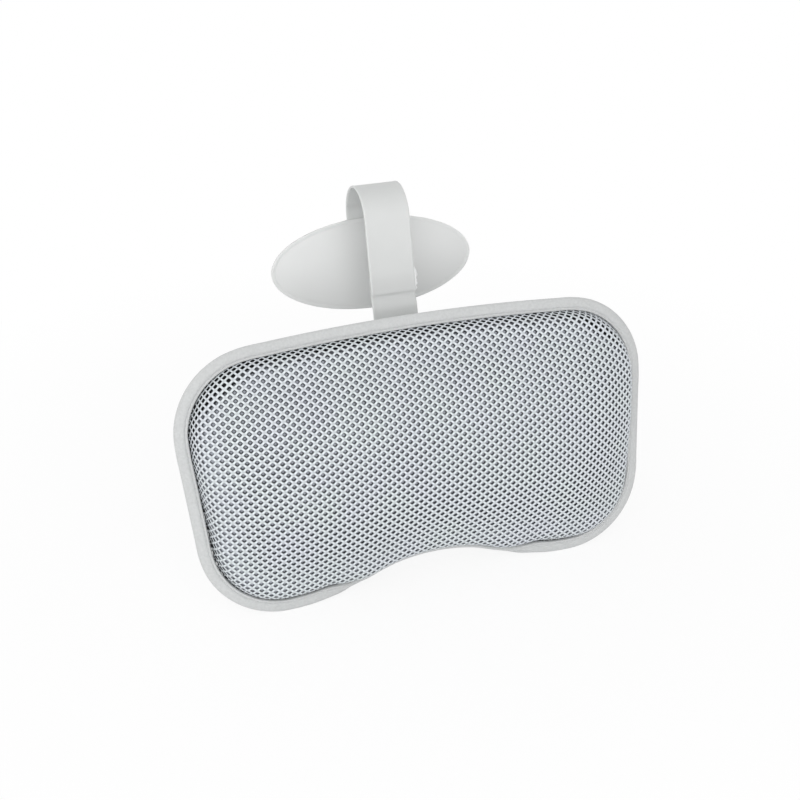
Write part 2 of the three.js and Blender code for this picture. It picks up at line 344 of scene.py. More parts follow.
def evenly(curve, count):
    """A closed curve as evenly spaced points."""
    closed = np.vstack([curve, curve[:1]])
    steps = np.linalg.norm(np.diff(closed, axis=0), axis=1)
    length = np.concatenate([[0], np.cumsum(steps)])
    wanted = np.linspace(0, length[-1], count, endpoint=False)
    return np.column_stack([np.interp(wanted, length, column) for column in closed.T])


# Pillow outline, read from the bound edge

edge_points = node_points("edge_binding")
SEAM_Y = (edge_points[:, 1].min() + edge_points[:, 1].max()) / 2


def smooth_loop(corners):
    """A smooth closed curve through the corners."""
    steps = np.linspace(0, 1, LOOP_STEPS, endpoint=False)[None, :, None]
    a, b, c, d = (np.roll(corners, k, axis=0)[:, None, :] for k in (1, 0, -1, -2))
    slope_b, slope_c = (c - a) / 2, (d - b) / 2
    bend = 3 * (c - b) - 2 * slope_b - slope_c
    twist = 2 * (b - c) + slope_b + slope_c
    return (b + steps * (slope_b + steps * (bend + steps * twist))).reshape(-1, corners.shape[1])


def pillow_outline():
    """The pillow's edge as evenly spaced [x, z], clockwise from the top, and the inward normals."""
    near_seam = BINDING_FACE * 0.6
    same_corner = 2 * MM
    rim = edge_points[np.abs(edge_points[:, 1] - SEAM_Y) < near_seam][:, [0, 2]]
    rim = rim[np.argsort(np.arctan2(rim[:, 0], rim[:, 1]))]
    corners = [rim[0]]
    for point in rim[1:]:
        if np.linalg.norm(point - corners[-1]) > same_corner:
            corners.append(point)
    if np.linalg.norm(corners[0] - corners[-1]) < same_corner:
        corners.pop()
    curve = evenly(smooth_loop(np.array(corners)), OUTLINE_POINTS)
    along = np.roll(curve, -1, axis=0) - np.roll(curve, 1, axis=0)
    along /= np.linalg.norm(along, axis=1)[:, None]
    return curve, np.column_stack([along[:, 1], -along[:, 0]])


outline, inward = pillow_outline()
TOP_Z = outline[:, 1].max()
BOTTOM_Z = outline[:, 1].min()
SPINE_HALF = outline[outline[:, 1] < BOTTOM_Z / 2][:, 0].max() - TOP_Z


def tuck(x, z):
    """How far the bound edge is turned under, from 0 to 1: fully along the hollow of the lower edge."""
    return smoothstep((TUCK_HALF + TUCK_FADE - np.abs(x)) / TUCK_FADE) * (z < BOTTOM_Z / 2)


tucked = tuck(outline[:, 0], outline[:, 1])
tuck_turn = TUCK_TURN * tucked
# The mesh stands off the tape by a narrow gap, uneven as hand sewing is, and closed along the top
gap_share = np.array([1 + GAP_CHANGE * noise.noise(Vector((x, 0, z)) / GAP_WAVE) for x, z in outline])
dome_setback = BINDING_WIDTH + SEAM_GAP * gap_share * np.sqrt(1 - smoothstep(-inward[:, 1]))
dome_inset = dome_setback * (1 - tucked)


def inset_loop(inset):
    return outline + inward * np.broadcast_to(inset, OUTLINE_POINTS)[:, None]


def spine_of(points):
    return np.column_stack([np.clip(points[:, 0], -SPINE_HALF, SPINE_HALF), np.zeros(len(points))])


def swell(share):
    """The curve of a padded side: upright at the seam, level at the top."""
    return np.sqrt(1 - (1 - share) ** SIDE_EXPONENT)


def crown_above_wall(z):
    """How far the crown stands above the padded wall: low along the top edge, full below it."""
    drop = smoothstep((TOP_Z - z) / CROWN_DROP)
    return CROWN_AT_TOP + (FRONT_CROWN - CROWN_AT_TOP) * drop - FRONT_WALL


def crown_curve(share, z):
    """The rise from the wall to the crown: soon level in the upper half, and rounder in the lower half."""
    lower = smoothstep(-z / LOWER_ROUND)
    return swell(share) * (1 - lower) + (1 - (1 - share) ** 2) * lower


def front_height(gone, share, z):
    """Height of the front over the seam: a steep padded wall and then the crown."""
    wall = (FRONT_WALL - FLANGE_FACE) * (1 - np.exp(-gone / WALL_ROUND))
    return FLANGE_FACE + wall + crown_above_wall(z) * crown_curve(share, z)


def front_loop(share, depth):
    """A loop of the front, a share of the way from the seam to the spine and a depth under the cloth."""
    base = inset_loop(dome_inset + depth)
    plan = base + (spine_of(base) - base) * share
    gone = np.linalg.norm(plan - base, axis=1)
    height = np.maximum(front_height(gone, share, plan[:, 1]) - depth, 0)
    return np.column_stack([plan[:, 0], SEAM_Y - height, plan[:, 1]])


def back_loop(step, depth):
    """A loop of the back, from the seam over the round shoulder to the flat at step 1 and beyond."""
    base = inset_loop(dome_inset + tucked * BINDING_FACE + depth)
    share = step * BACK_SHOULDER / (TOP_Z - BINDING_WIDTH)
    plan = base + (spine_of(base) - base) * share
    fall = FLANGE_FACE + (-SEAM_Y - FLANGE_FACE - depth) * swell(min(step, 1))
    return np.column_stack([plan[:, 0], np.full(OUTLINE_POINTS, SEAM_Y + fall), plan[:, 1]])


def band_loop(inset, height):
    """A loop of the bound edge, inset from its outer rim and a height over its middle."""
    out = dome_setback - inset
    turn_cos, turn_sin = np.cos(tuck_turn), np.sin(tuck_turn)
    plan = inset_loop(dome_inset) - inward * (out * turn_cos + height * turn_sin)[:, None]
    return np.column_stack([plan[:, 0], SEAM_Y + out * turn_sin - height * turn_cos, plan[:, 1]])


# Cushion: a closed body that cloth simulation swells against its seam

def cushion_mesh():
    """The stuffing before it swells, from the front crown over the seam to the flat back."""
    loops = [front_loop(share, CUSHION_DEPTH) for share in FRONT_SHARES]
    loops += [back_loop(step, COVER_THICKNESS) for step in BACK_STEPS]
    filling = new_object("filling", np.vstack(loops), capped_faces(len(loops), OUTLINE_POINTS))
    even = filling.modifiers.new("even", "REMESH")
    even.mode = "VOXEL"
    even.voxel_size = SIM_VOXEL
    even.use_smooth_shade = True
    apply_modifiers(filling)
    return filling


def swell_cushion(filling):
    """Pressure swells the body while its seam and seat stay put, within SIM_REACH of where it started."""
    start = vertex_array(filling.data)
    y = upright(start)[:, 1]
    held = (np.abs(y - SEAM_Y) < SIM_VOXEL) | (y > -2 * COVER_THICKNESS)
    pinned = filling.vertex_groups.new(name="held")
    pinned.add([int(i) for i in np.flatnonzero(held)], 1.0, "REPLACE")
    cloth = filling.modifiers.new("cloth", "CLOTH").settings
    cloth.use_pressure = True
    cloth.uniform_pressure_force = SIM_PRESSURE
    cloth.vertex_group_mass = "held"
    cloth.effector_weights.gravity = 0
    for step in range(1, SIM_FRAMES + 1):
        bpy.context.scene.frame_set(step)
    apply_modifiers(filling)
    bpy.context.scene.frame_set(1)
    moved = vertex_array(filling.data) - start
    far = np.maximum(np.linalg.norm(moved, axis=1), 1e-9)
    put_vertices(filling.data, start + moved * np.minimum(1, SIM_REACH / far)[:, None])


def add_lumps(filling):
    """Soft unevenness of the stuffing."""
    points = upright(vertex_array(filling.data))
    front = np.clip((SEAM_Y - points[:, 1]) / FRONT_CROWN, 0, 1)
    lumps = np.array([noise.noise(Vector(p) / LUMP_SIZE) for p in points])
    points[:, 1] -= lumps * LUMP_HEIGHT * front
    put_vertices(filling.data, lean(points))


def make_cushion():
    filling = cushion_mesh()
    swell_cushion(filling)
    add_lumps(filling)
    finer = filling.modifiers.new("finer", "SUBSURF")
    finer.levels = finer.render_levels = 1
    apply_modifiers(filling)
    return filling


filling = make_cushion()
filling_tree = BVHTree.FromObject(filling, bpy.context.evaluated_depsgraph_get())


def over_filling(points, normals):
    """How far the swollen cushion stands out from each upright point along its normal."""
    reach = 20 * MM
    starts = lean(points + normals * reach)
    directions = lean(-normals)
    heights = np.full(len(points), -reach)
    for i, (start, direction) in enumerate(zip(starts, directions)):
        distance = filling_tree.ray_cast(Vector(start), Vector(direction), 2 * reach)[3]
        if distance is not None:
            heights[i] = reach - distance
    return heights


# Front cloth: a flat lattice of holes laid over the crown by length along the cloth

dome_base = inset_loop(dome_inset)


def spokes(points):
    """Each plan point's foot on the spine, its direction and distance from it, and the spoke's length."""
    middle = dome_base[np.abs(dome_base[:, 0]) <= SPINE_HALF]
    upper, lower = middle[middle[:, 1] > 0], middle[middle[:, 1] < 0]
    upper = upper[np.argsort(upper[:, 0])]
    lower = lower[np.argsort(lower[:, 0])]
    end = dome_base[dome_base[:, 0] > SPINE_HALF] - [SPINE_HALF, 0]
    end = end[np.argsort(np.arctan2(end[:, 1], end[:, 0]))]
    foot = spine_of(points)
    spoke = points - foot
    distance = np.linalg.norm(spoke, axis=1)
    up = np.interp(foot[:, 0], upper[:, 0], upper[:, 1])
    down = -np.interp(foot[:, 0], lower[:, 0], lower[:, 1])
    turn = np.arctan2(spoke[:, 1], np.abs(spoke[:, 0]))
    sideways = np.interp(turn, np.arctan2(end[:, 1], end[:, 0]), np.linalg.norm(end, axis=1))
    length = np.where(np.abs(points[:, 0]) > SPINE_HALF, sideways, np.where(spoke[:, 1] >= 0, up, down))
    return foot, spoke / np.maximum(distance, 1e-9)[:, None], distance, length[:, None]


def lay_cloth(points):
    """Upright places on the front of points of the flat cloth, and how far inside the seam they lie."""
    foot, direction, distance, length = spokes(points)
    share = 1 - (1 - np.linspace(0, 1, PROFILE_STEPS)) ** 3
    radius = length * share
    height = front_height(length - radius, 1 - share, direction[:, 1:] * radius)
    pieces = np.hypot(np.diff(radius, axis=1), np.diff(height, axis=1))
    gone = np.concatenate([np.zeros((len(points), 1)), np.cumsum(pieces, axis=1)], axis=1)
    step = np.clip((gone < distance[:, None]).sum(axis=1) - 1, 0, PROFILE_STEPS - 2)
    row = np.arange(len(points))
    part = np.clip((distance - gone[row, step]) / pieces[row, step], 0, 1)
    inside = gone[:, -1] - distance
    beyond = np.clip(-inside, 0, FLANGE_WIDTH)
    reach = radius[row, step] * (1 - part) + radius[row, step + 1] * part
    rise = height[row, step] * (1 - part) + height[row, step + 1] * part
    plan = foot + direction * reach[:, None]
    turn = TUCK_TURN * tuck(plan[:, 0], plan[:, 1])
    plan = plan + direction * (beyond * np.cos(turn))[:, None]
    return np.column_stack([plan[:, 0], SEAM_Y - rise + beyond * np.sin(turn), plan[:, 1]]), inside


def cloth_normals(points):
    step = 0.2 * MM
    right = lay_cloth(points + [step, 0])[0] - lay_cloth(points - [step, 0])[0]
    up = lay_cloth(points + [0, step])[0] - lay_cloth(points - [0, step])[0]
    normals = np.cross(right, up)
    return normals / np.maximum(np.linalg.norm(normals, axis=1), 1e-12)[:, None]


def turned(points):
    """The lattice lies a little askew on the pillow."""
    turn_cos, turn_sin = math.cos(CELL_TURN), math.sin(CELL_TURN)
    return points @ np.array([[turn_cos, turn_sin], [-turn_sin, turn_cos]])


def lattice():
    """Middles of the holes on the flat cloth, in rows that step sideways by half a cell."""
    columns = np.arange(-HALF_COLUMNS, HALF_COLUMNS + 1) * CELL_WIDTH
    cells = []
    for row in range(-HALF_ROWS, HALF_ROWS + 1):
        shift = CELL_WIDTH / 2 if row % 2 else 0
        cells.append(np.column_stack([columns + shift, np.full(len(columns), row * CELL_HEIGHT / 2)]))
    cells = np.vstack(cells)
    inside = lay_cloth(turned(cells))[1]
    return cells[inside > -FLANGE_WIDTH / 2]


class FrontCloth:
    """The lattice's cells with their shared corners, laid on the swollen cushion."""

    def __init__(self):
        self.cells = lattice()
        corners = [[1, 0], [.5, .5], [0, 1], [-.5, .5], [-1, 0], [-.5, -.5], [0, -1], [.5, -.5]]
        quarter = np.array([CELL_WIDTH, CELL_HEIGHT]) / 4
        edge = (self.cells[:, None] + 2 * np.array(corners) * quarter).reshape(-1, 2)
        keys = np.round(edge / quarter).astype(int)
        _, first, ridge = np.unique(keys, axis=0, return_index=True, return_inverse=True)
        self.ridge = ridge.reshape(-1, 8)
        self.ridge_points = edge[first]
        self.is_bar = first % 2

    def laid(self, points):
        """Places on the front, their normals and how far inside the seam they lie."""
        flat = turned(points)
        places, inside = lay_cloth(flat)
        normals = cloth_normals(flat)
        lift = np.clip(over_filling(places, normals) + CUSHION_DEPTH, LIFT_LOW, LIFT_HIGH)
        lift = lift * smoothstep((inside - CLOTH_FREE) / CLOTH_RISE)
        return places + normals * lift[:, None], normals, inside


def open_edges(edges):
    """The directed edges whose other side has no face."""
    _, place, counts = np.unique(np.sort(edges, axis=1), axis=0, return_index=True, return_counts=True)
    return edges[place[counts == 1]]


def front_net(cloth):
    """Strands round every hole: a ridge along the cell's edge, a rounded rim and a flat underside."""
    turns = np.arange(8) * math.pi / 4
    hole = np.column_stack([np.cos(turns) * HOLE_WIDTH / 2, np.sin(turns) * HOLE_HEIGHT / 2])
    hole[1::2] *= HOLE_CORNER
    edge = 1 - smoothstep(cloth.laid(cloth.cells)[2] / STRETCH_REACH)
    holes = hole * (1 + STRETCHED_HOLE * edge)[:, None, None]
    rims = (cloth.cells[:, None] + holes).reshape(-1, 2)
    low_rims = (cloth.cells[:, None] + holes * HOLE_FLARE).reshape(-1, 2)
    parts = [(cloth.ridge_points, np.where(cloth.is_bar, BAR_RISE, KNOT_RISE)), (rims, RIM_RISE),
             (low_rims, -STRAND_DEPTH), (cloth.ridge_points, -STRAND_DEPTH)]
    points, seam_shade = [], []
    for flat, height in parts:
        places, normals, inside = cloth.laid(flat)
        stretched = STRETCHED_STRAND + (1 - STRETCHED_STRAND) * smoothstep(inside / STRETCH_REACH)
        points.append(places + normals * (height * stretched)[:, None])
        # Painted shade: the strands' colour darkens towards the seam
        seam_shade.append(smoothstep((inside + SEAM_SHADE_WIDTH) / SEAM_SHADE_WIDTH / 2))
    starts = np.cumsum([0] + [len(flat) for flat, _ in parts])
    around = np.arange(len(rims)).reshape(-1, 8)
    rings = [cloth.ridge, starts[1] + around, starts[2] + around, starts[3] + cloth.ridge]
    after = np.roll(np.arange(8), -1)
    faces = [np.stack([outer, outer[:, after], inner[:, after], inner], axis=2).reshape(-1, 4)
             for outer, inner in zip(rings, rings[1:])]
    border = open_edges(np.stack([cloth.ridge, cloth.ridge[:, after]], axis=2).reshape(-1, 2))
    low = border + starts[3]
    faces.append(np.column_stack([border[:, 1], border[:, 0], low[:, 0], low[:, 1]]))
    net = new_object("front_net", np.vstack(points), np.vstack(faces))
    # The bars' white and the knots' greyer tone, then painted shade on the rims, down each hole's wall and on the
    # underside
    tone_and_shade = [np.where(cloth.is_bar, 1.0, KNOT_PALE), np.tile(RIM_PALE, len(rims) // 2),
            np.full(len(rims), LOW_RIM_PALE), np.zeros(len(cloth.ridge_points))]
    set_values(net, "tone_and_shade", np.concatenate(tone_and_shade) * np.concatenate(seam_shade))
    return net


def hollow(places, inside):
    """How far the filling has shrunk from the edge, from 0 to 1: most along the top and its corners."""
    x, z = places[:, 0], places[:, 2]
    upper = smoothstep(z / (TOP_Z * HOLLOW_RISE))
    from_corner = np.hypot(np.abs(x) - CORNER_X, z - CORNER_Z)
    reach = HOLLOW_SIDE + (HOLLOW_TOP - HOLLOW_SIDE) * upper
    reach = reach + HOLLOW_CORNER * smoothstep(1 - from_corner / CORNER_SIZE)
    return smoothstep(HOLLOW_EDGE * (1 - inside / reach))


def mesh_backing(cloth):
    """The closed back face of the mesh, which shows through its holes."""
    flat = np.vstack([cloth.ridge_points, cloth.cells])
    places, normals, inside = cloth.laid(flat)
    fallen = hollow(places, inside)
    depth = BACKING_DEPTH * np.clip(inside / CLOTH_SETTLE + BACKING_AT_SEAM, BACKING_AT_SEAM, 1)
    depth = depth + HOLLOW_DEPTH * fallen * smoothstep(inside / HOLLOW_START)
    middle = len(cloth.ridge_points) + np.arange(len(cloth.cells))
    after = np.roll(np.arange(8), -1)
    faces = np.stack([cloth.ridge, cloth.ridge[:, after], np.repeat(middle[:, None], 8, axis=1)], axis=2)
    backing = new_object("mesh_backing", places - normals * depth[:, None], faces.reshape(-1, 3))
    # Painted shade: the backing is dark under the strands and grey in each hole's middle; this shade is lighter
    # towards the lower edge near the seam
    low = 1 - smoothstep(places[:, 2] / TOP_Z)
    tone_and_shade = EDGE_PALE * low * (1 - smoothstep(inside / EDGE_REACH))
    tone_and_shade[middle] = 1
    set_values(backing, "tone_and_shade", tone_and_shade)
    # fallen also paints the backing black, as shade in the hollow
    set_values(backing, "fallen", fallen)
    thicken(backing, BACKING_THICKNESS, -1)
    return backing


def shrink_filling():
    """The filling falls away from the edge where the mesh bridges a hollow."""
    points = upright(vertex_array(filling.data))
    plan = points[:, [0, 2]]
    _, _, distance, length = spokes(plan)
    inside = np.maximum(length[:, 0] - distance, 0) + WALL_LENGTH
    fallen = hollow(points, inside) * smoothstep((SEAM_Y - points[:, 1]) / FRONT_WALL * 2)
    points[:, 1] += fallen * (HOLLOW_DEPTH + FILLING_CLEAR)
    put_vertices(filling.data, lean(points))
    # fallen also paints the stuffing nearly black, as shade in the hollow
    set_values(filling, "fallen", fallen)


# Back cover

def back_cover():
    steps = np.concatenate([1 - (1 - np.linspace(0, 1, COVER_STEPS)) ** 2, SEAT_STEPS])
    loops = [band_loop(BINDING_WIDTH - FLANGE_WIDTH, -FLANGE_FACE)]
    loops += [back_loop(step, 0) for step in steps]
    count = OUTLINE_POINTS
    faces = grid_faces(len(loops), count, wrap=True)
    faces.append(range(len(loops) * count - count, len(loops) * count))
    cover = new_object("back_cover", np.vstack(loops), faces)
    thicken(cover, COVER_THICKNESS, -1)
    return cover


# Bound edge

def binding_section():
    """The tape folded over the flanges, as [inset, height] round its outside and back along its inside."""
    front = [(inset * MM, height * MM) for inset, height in BINDING_FRONT]
    back = [(inset, -height) for inset, height in reversed(front[:-1])]
    inner_front = []
    for inset, height in (front[i] for i in INNER_POINTS):
        within = BINDING_TAPE if inset < BINDING_WIDTH / 2 else 0
        inner_front.append((inset + within, height * INNER_SHARE))
    inner_back = [(inset, -height) for inset, height in inner_front[:-1]]
    return front + back + inner_back + inner_front[::-1]


def edge_binding():
    section = binding_section()
    rows, count = len(section), OUTLINE_POINTS
    loops = [band_loop(inset, height) for inset, height in section]
    faces = [[i % (rows * count) for i in face] for face in grid_faces(rows + 1, count, wrap=True)]
    return new_object("binding", np.vstack(loops), faces)


def stitches(name, starts, ends):
    """Short rounded lengths of thread between pairs of upright points."""
    axis = (ends - starts) / np.linalg.norm(ends - starts, axis=1)[:, None]
    side = np.cross(axis, [0.0, 1.0, 0.0])
    side /= np.linalg.norm(side, axis=1)[:, None]
    up = np.cross(side, axis)
    rings = []
    for along, width in STITCH_RINGS:
        for k in range(STITCH_SIDES):
            turn = 2 * math.pi * k / STITCH_SIDES
            spread = (side * math.cos(turn) + up * math.sin(turn)) * STITCH_RADIUS * width
            rings.append(starts + (ends - starts) * along + spread)
    points = np.stack(rings, axis=1)
    faces = []
    for i in range(len(starts)):
        first = i * len(rings)
        faces += [[first + k for k in face] for face in capped_faces(len(STITCH_RINGS), STITCH_SIDES)]
    return new_object(name, points.reshape(-1, 3), faces)


def row_of_stitches(curve):
    """Starts and ends of stitches along a closed curve."""
    length = np.linalg.norm(np.diff(np.vstack([curve, curve[:1]]), axis=0), axis=1).sum()
    count = round(length / STITCH_PITCH)
    fine = evenly(curve, count * STITCH_STEPS)
    covered = round(STITCH_STEPS * STITCH_LENGTH / STITCH_PITCH)
    return fine[::STITCH_STEPS], np.roll(fine, -covered, axis=0)[::STITCH_STEPS]


def binding_stitches():
    rows = [row_of_stitches(band_loop(STITCH_INSET, side * STITCH_SINK)) for side in (1, -1)]
    starts, ends = (np.vstack(column) for column in zip(*rows))
    return stitches("binding_stitches", starts, ends)


# Strap

FOLD = joint_point("tab_fold")
NECK = joint_point("paddle_fold")
STRAP_Y = FOLD[1]
REAR_Y = NECK[1]
ARCH_RADIUS = (REAR_Y - STRAP_Y) / 2
ARCH_Z = NECK[2]
LEG = ARCH_Z - FOLD[2]
BAND_END = LEG + BAND_ARC * ARCH_RADIUS
STRAP_HALF = node_points("strap_front")[:, 0].max()
TAB_FOOT = node_points("strap_tab")[:, 2].min()


def strap_line(distance):
    """The strap's line as [y, z] at a distance from the tab's fold, and the way its outer face looks."""
    turn = np.clip((distance - LEG) / ARCH_RADIUS, 0, math.pi)
    down = np.maximum(distance - LEG - math.pi * ARCH_RADIUS, 0)
    y = STRAP_Y + ARCH_RADIUS * (1 - np.cos(turn))
    z = np.where(distance < LEG, FOLD[2] + distance, ARCH_Z + ARCH_RADIUS * np.sin(turn) - down)
    return np.column_stack([y, z]), np.column_stack([-np.cos(turn), np.sin(turn)])


def sheet_section(half):
    """A plastic sheet's section as [x, height], with a soft bead along each edge."""
    shrink = min(1, half / EDGE_WIDTH / 2)
    right = [(half - inset * MM * shrink, height * STRAP_THICKNESS / 2) for inset, height in SHEET_EDGE]
    flat = right[-1]
    middle = [(flat[0] * k, flat[1]) for k in (0.6, 0.2, -0.2, -0.6)]
    left = [(-x, h) for x, h in reversed(right)]
    upper = right + middle + left
    lower = [(x, -h) for x, h in reversed(upper[1:-1])]
    return np.array(upper + lower)


def strip(name, places, outward, halves):
    """A closed strip of sheet along places [y, z], whose outer face looks along outward."""
    rows = []
    for place, face, half in zip(places, outward, halves):
        section = sheet_section(half)
        across = section[:, 1:] * face
        rows.append(np.column_stack([section[:, 0], place + across]))
    faces = [list(reversed(face)) for face in capped_faces(len(rows), len(rows[0]))]
    return new_object(name, np.vstack(rows), faces)


def strap_band():
    distance = np.linspace(0, BAND_END, BAND_ROWS)
    return strip("strap_band", *strap_line(distance), np.full(len(distance), STRAP_HALF))


def tab_sheet():
    """The tab rises from the back of the pillow and passes behind the foot of the strap."""
    z = np.linspace(TAB_FOOT, FOLD[2] + TAB_LAP, TAB_ROWS)
    behind = smoothstep((z - FOLD[2] + TAB_LAP) / TAB_BEND)
    places = np.column_stack([STRAP_Y + TAB_BEHIND * behind, z])
    return strip("tab_sheet", places, np.tile([-1.0, 0.0], (len(z), 1)), np.full(len(z), STRAP_HALF))


def tab_stitches():
    """A sewn box on the tab, behind the pillow."""
    half = STRAP_HALF - BOX_SIDE
    low = TAB_FOOT + BOX_FOOT
    high = TAB_FOOT + TAB_SEWN - BOX_HEAD
    corners = np.array([[-half, low], [half, low], [half, high], [-half, high]])
    sides = zip(corners, np.roll(corners, -1, 0))
    fine = np.vstack([np.linspace(a, b, BOX_STEPS, endpoint=False) for a, b in sides])
    y = STRAP_Y + STRAP_THICKNESS / 2
    curve = np.column_stack([fine[:, 0], np.full(len(fine), y), fine[:, 1]])
    return stitches("tab_stitches", *row_of_stitches(curve))


def lap_fringe():
    """Ragged flash of the weld along one edge of the lap."""
    share = np.linspace(0, 1, FRINGE_ROWS)
    ragged = np.array([noise.noise(Vector((k * FRINGE_TEETH, 0.3, 0))) for k in share])
    tapered = np.sqrt(np.sin(math.pi * np.clip(share + FRINGE_BLUNT, 0, 1)))
    width = FRINGE_WIDTH * (FRINGE_MEAN + FRINGE_CHANGE * ragged) * tapered
    z = FOLD[2] + FRINGE_START + share * FRINGE_HEIGHT
    across = np.array([0, 0.5, 1])
    x = STRAP_HALF - FRINGE_ROOT + (width[:, None] + FRINGE_ROOT) * across
    y = STRAP_Y - FRINGE_DEPTH + np.outer(ragged, across) * FRINGE_CURL
    points = np.column_stack([x.ravel(), y.ravel(), np.repeat(z, 3)])
    fringe = new_object("lap_fringe", points, grid_faces(len(z), 3))
    thicken(fringe, FRINGE_THICKNESS, 0)
    return fringe


# Paddle

paddle_points = node_points("paddle_back")
PADDLE_HALF = paddle_points[:, 0].max()
PADDLE_Z = paddle_points[:, 2].min() + PADDLE_HEIGHT / 2
PADDLE_SEAM_Y = node_points("paddle_front")[:, 1].max()


def paddle_back():
    """The oval sheet, cut in one with the end of the strap."""
    turns = np.linspace(PADDLE_TIP, math.pi - PADDLE_TIP, PADDLE_ROWS)
    top = LEG + math.pi * ARCH_RADIUS + ARCH_Z - PADDLE_Z
    down = top - np.cos(turns) * PADDLE_HEIGHT / 2
    neck = np.linspace(BAND_END, down[0], NECK_ROWS)[:-1]
    distance = np.concatenate([neck, down])
    oval = np.concatenate([np.zeros(len(neck)), np.sin(turns) * PADDLE_HALF])
    strap = np.where(distance < top, STRAP_HALF, 0)
    wider = np.clip(0.5 + (oval - strap) / NECK_FILLET / 2, 0, 1)
    halves = strap * (1 - wider) + oval * wider + NECK_FILLET * wider * (1 - wider)
    return strip("paddle_back_sheet", *strap_line(distance), halves)


def paddle_profile():
    """The welded skin as [inset, rise]: outside from the middle to the rim, then back along the inside."""
    shoulder = np.linspace(1, 0, SHOULDER_ROWS)
    rise = SKIN_THICKNESS + (PADDLE_PUFF - SKIN_THICKNESS) * (1 - (1 - shoulder) ** 2)
    slope = list(zip(PADDLE_RIM + WELD_STEP + PADDLE_SHOULDER * shoulder, rise))
    weld = [(PADDLE_RIM, SKIN_THICKNESS * WELD_GROOVE), (PADDLE_RIM - WELD_STEP, SKIN_THICKNESS)]
    rim = [(inset * MM, SKIN_THICKNESS * height) for inset, height in SKIN_EDGE]
    outside = slope + weld + rim
    inside = [(PADDLE_RIM + SKIN_THICKNESS, 0)]
    inside += [(inset + SKIN_THICKNESS, height - SKIN_THICKNESS) for inset, height in reversed(slope[:-1:3])]
    return outside + inside


def oval_loop(half, half_height, y, count):
    """A loop round an oval of the paddle, at one depth."""
    turns = -np.arange(count) * 2 * math.pi / count
    x, z = half * np.cos(turns), half_height * np.sin(turns)
    return np.column_stack([x, np.full(count, y), PADDLE_Z + z])


def paddle_front():
    loops = []
    for inset, rise in paddle_profile():
        half, half_height = PADDLE_HALF - inset, PADDLE_HEIGHT / 2 - inset
        loops.append(oval_loop(half, half_height, PADDLE_SEAM_Y - rise, SKIN_POINTS))
    return new_object("paddle_skin", np.vstack(loops), capped_faces(len(loops), SKIN_POINTS))


def weight_plate():
    """The weight in the paddle: a thin oval plate with round edges, between the back sheet and the skin."""
    weight = node_points("counterweight")
    half, half_height = weight[:, 0].max(), np.ptp(weight[:, 2]) / 2
    loops = []
    for share, rise in PLATE_EDGE:
        inset = share * PLATE_THICKNESS
        y = PADDLE_SEAM_Y - PLATE_GAP - rise * PLATE_THICKNESS
        loops.append(oval_loop(half - inset, half_height - inset, y, PLATE_POINTS))
    return new_object("weight_plate", np.vstack(loops), capped_faces(len(loops), PLATE_POINTS))


# Materials

WHITE = (1, 1, 1, 1)
# Painted shade for the hollow where the filling has fallen away from the edge
HOLLOW_SHADE = (0.008, 0.008, 0.01, 1)
FLOOR_COLOUR = (0.94, 0.94, 0.94, 1)
WAVE_PERIOD = 2 * math.pi / 20


def put(tree, kind, values, **settings):
    """Adds a node with its settings, and feeds each named input with a value or another node's output."""
    node = tree.nodes.new(kind)
    for key, value in settings.items():
        setattr(node, key, value)
    for key, value in values.items():
        if isinstance(value, bpy.types.NodeSocket):
            tree.links.new(value, node.inputs[key])
        else:
            node.inputs[key].default_value = value
    return node


def compute(tree, operation, a, b):
    return put(tree, "ShaderNodeMath", {0: a, 1: b}, operation=operation).outputs[0]


def object_place(tree):
    return put(tree, "ShaderNodeTexCoord", {}).outputs["Object"]


def grain(tree, scale, detail=2):
    values = {"Vector": object_place(tree), "Scale": scale, "Detail": detail}
    return put(tree, "ShaderNodeTexNoise", values).outputs["Fac"]


def ribs(tree, direction, pitch):
    """Ribs across one axis, a pitch apart in metres."""
    values = {"Vector": object_place(tree), "Scale": WAVE_PERIOD / pitch,
              "Distortion": 0.6, "Detail Scale": 2}
    return put(tree, "ShaderNodeTexWave", values, bands_direction=direction).outputs["Fac"]


def weave(tree, pitch):
    """Threads both ways, on surfaces that face any way."""
    crossed = compute(tree, "MULTIPLY", ribs(tree, "X", pitch), ribs(tree, "Z", pitch))
    return compute(tree, "ADD", crossed, compute(tree, "MULTIPLY", ribs(tree, "Y", pitch), 0.5))


def stored(tree, name):
    return put(tree, "ShaderNodeAttribute", {}, attribute_name=name).outputs["Fac"]


def between(tree, factor, low, high):
    """A colour between two, by a factor."""
    ramp = put(tree, "ShaderNodeValToRGB", {"Fac": factor})
    ramp.color_ramp.elements[0].color = (*low, 1)
    ramp.color_ramp.elements[1].color = (*high, 1)
    return ramp.outputs["Color"]


def finish(name, colour, roughness, height, bump, sheen=0.0):
    """A material from functions that give its colour, roughness range, relief, and a fabric's sheen."""
    made = bpy.data.materials.new(name)
    made.use_nodes = True
    tree = made.node_tree
    shader = tree.nodes["Principled BSDF"]
    shader.inputs["Sheen Weight"].default_value = sheen
    tree.links.new(colour(tree), shader.inputs["Base Color"])
    rough = put(tree, "ShaderNodeMapRange",
                {"Value": grain(tree, 160), "To Min": roughness[0], "To Max": roughness[1]})
    tree.links.new(rough.outputs[0], shader.inputs["Roughness"])
    relief = put(tree, "ShaderNodeBump",
                 {"Height": height(tree), "Strength": bump[0], "Distance": bump[1]})
    tree.links.new(relief.outputs[0], shader.inputs["Normal"])
    return made


def blended(tree, factor, below, above, how="MIX"):
    """Two colours laid over each other. The mix node takes colours at 6 and 7, and gives one at 2."""
    values = {"Factor": factor, 6: below, 7: above}
    return put(tree, "ShaderNodeMix", values, data_type="RGBA", blend_type=how).outputs[2]


